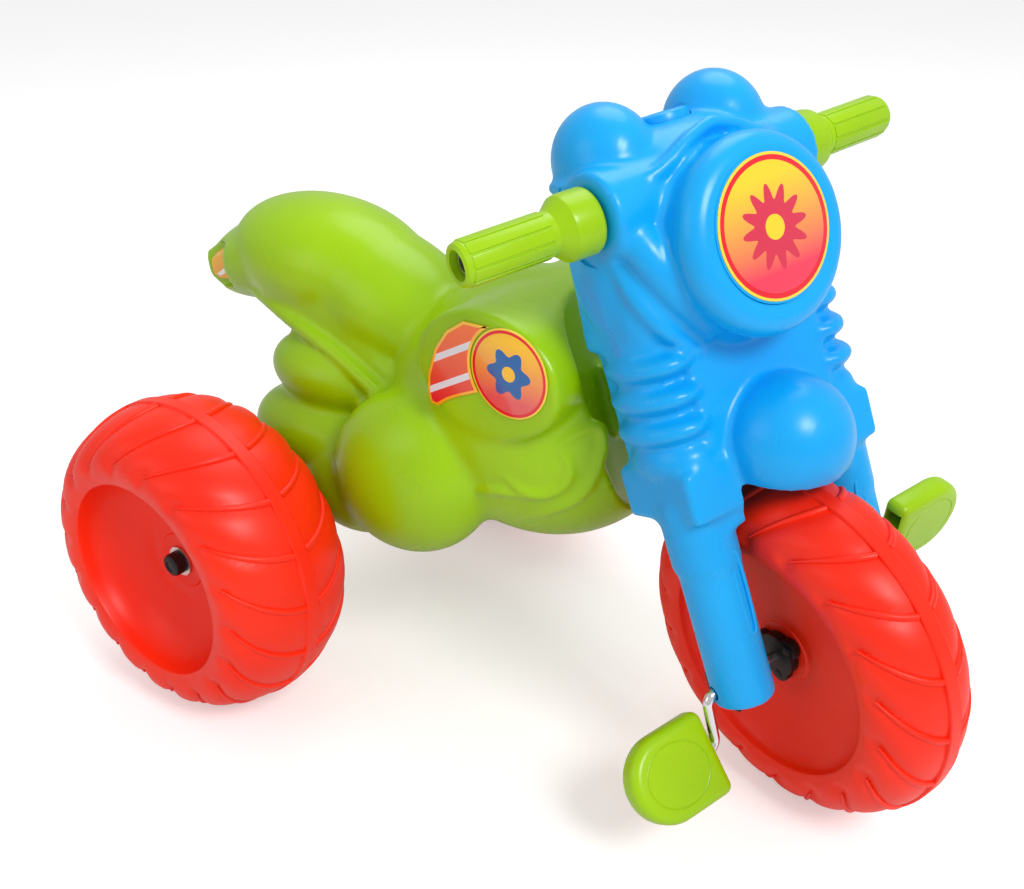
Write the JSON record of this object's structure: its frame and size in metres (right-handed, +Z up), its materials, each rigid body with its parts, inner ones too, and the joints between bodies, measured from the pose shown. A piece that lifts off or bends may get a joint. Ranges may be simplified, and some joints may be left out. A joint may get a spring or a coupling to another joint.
{
  "type": "children's tricycle",
  "caption": "Child's pedal tricycle with a blow-moulded body and fork, wide hollow wheels, swept grips and a cranked front axle.",
  "frame": {"origin": "middle of the bounding box, on the floor under the wheels", "axes": "+Z up, -Y is the way the tricycle faces, -X is the rider's right"},
  "size_m": [0.4484, 0.664, 0.4624],
  "materials": {
    "lime_plastic": "satin moulded polyethylene",
    "blue_plastic": "satin moulded polyethylene",
    "red_plastic": "satin moulded polyethylene",
    "black_plastic": "moulded nylon",
    "zinc_steel": "zinc plated",
    "chrome_steel": "bright chrome",
    "printed_film": "printed film",
    "flash_film": "printed film"
  },
  "bodies": {
    "chassis": {"body_shell": "lime_plastic", "rear_axle": "zinc_steel", "rear_spacer_right": "black_plastic", "rear_spacer_left": "black_plastic", "rear_washer_right": "zinc_steel", "rear_washer_left": "zinc_steel", "rear_cap_right": "black_plastic", "rear_cap_left": "black_plastic", "side_disc_sticker_right": "printed_film", "side_disc_sticker_left": "printed_film", "side_flash_sticker_right": "flash_film", "side_flash_sticker_left": "flash_film", "tail_sticker_right": "printed_film", "tail_sticker_left": "printed_film"},
    "fork": {"fork_shell": "blue_plastic", "steering_pin": "zinc_steel", "steering_cap": "blue_plastic", "steering_washer_lower": "zinc_steel", "steering_washer_upper": "zinc_steel", "handlebar_tube": "zinc_steel", "grip_right": "lime_plastic", "grip_left": "lime_plastic", "headlight_sticker": "printed_film", "axle_clip_right": "black_plastic", "axle_clip_left": "black_plastic", "clip_screw_right_front": "zinc_steel", "clip_screw_right_rear": "zinc_steel", "clip_screw_left_front": "zinc_steel", "clip_screw_left_rear": "zinc_steel"},
    "front_wheel": {"front_wheel": "red_plastic", "crank_axle": "chrome_steel", "hub_flange_right": "black_plastic", "hub_flange_left": "black_plastic"},
    "pedal_right": {"pedal_right": "lime_plastic"},
    "pedal_left": {"pedal_left": "lime_plastic"},
    "rear_wheel_right": {"rear_wheel_right": "red_plastic"},
    "rear_wheel_left": {"rear_wheel_left": "red_plastic"}
  },
  "joints": [
    {"name": "steering", "type": "hinge", "parent": "chassis", "child": "fork", "pos_m": [0, -0.14232, 0.28628], "axis": [0, 0.3616, 0.9323], "range_deg": [-14, 50]},
    {"name": "front_wheel_spin", "type": "hinge", "parent": "fork", "child": "front_wheel", "pos_m": [-0.00222, -0.2138, 0.12093], "axis": [0.9511, -0.2881, 0.1117], "continuous": true},
    {"name": "pedal_right_spin", "type": "hinge", "parent": "front_wheel", "child": "pedal_right", "pos_m": [-0.10912, -0.18992, 0.07388], "axis": [0.9511, -0.2881, 0.1117], "continuous": true},
    {"name": "pedal_left_spin", "type": "hinge", "parent": "front_wheel", "child": "pedal_left", "pos_m": [0.10467, -0.23768, 0.16799], "axis": [0.9511, -0.2881, 0.1117], "continuous": true},
    {"name": "rear_wheel_right_spin", "type": "hinge", "parent": "chassis", "child": "rear_wheel_right", "pos_m": [-0.1696, 0.18487, 0.118], "axis": [1, 0, 0], "continuous": true},
    {"name": "rear_wheel_left_spin", "type": "hinge", "parent": "chassis", "child": "rear_wheel_left", "pos_m": [0.1696, 0.18487, 0.118], "axis": [1, 0, 0], "continuous": true}
  ]
}
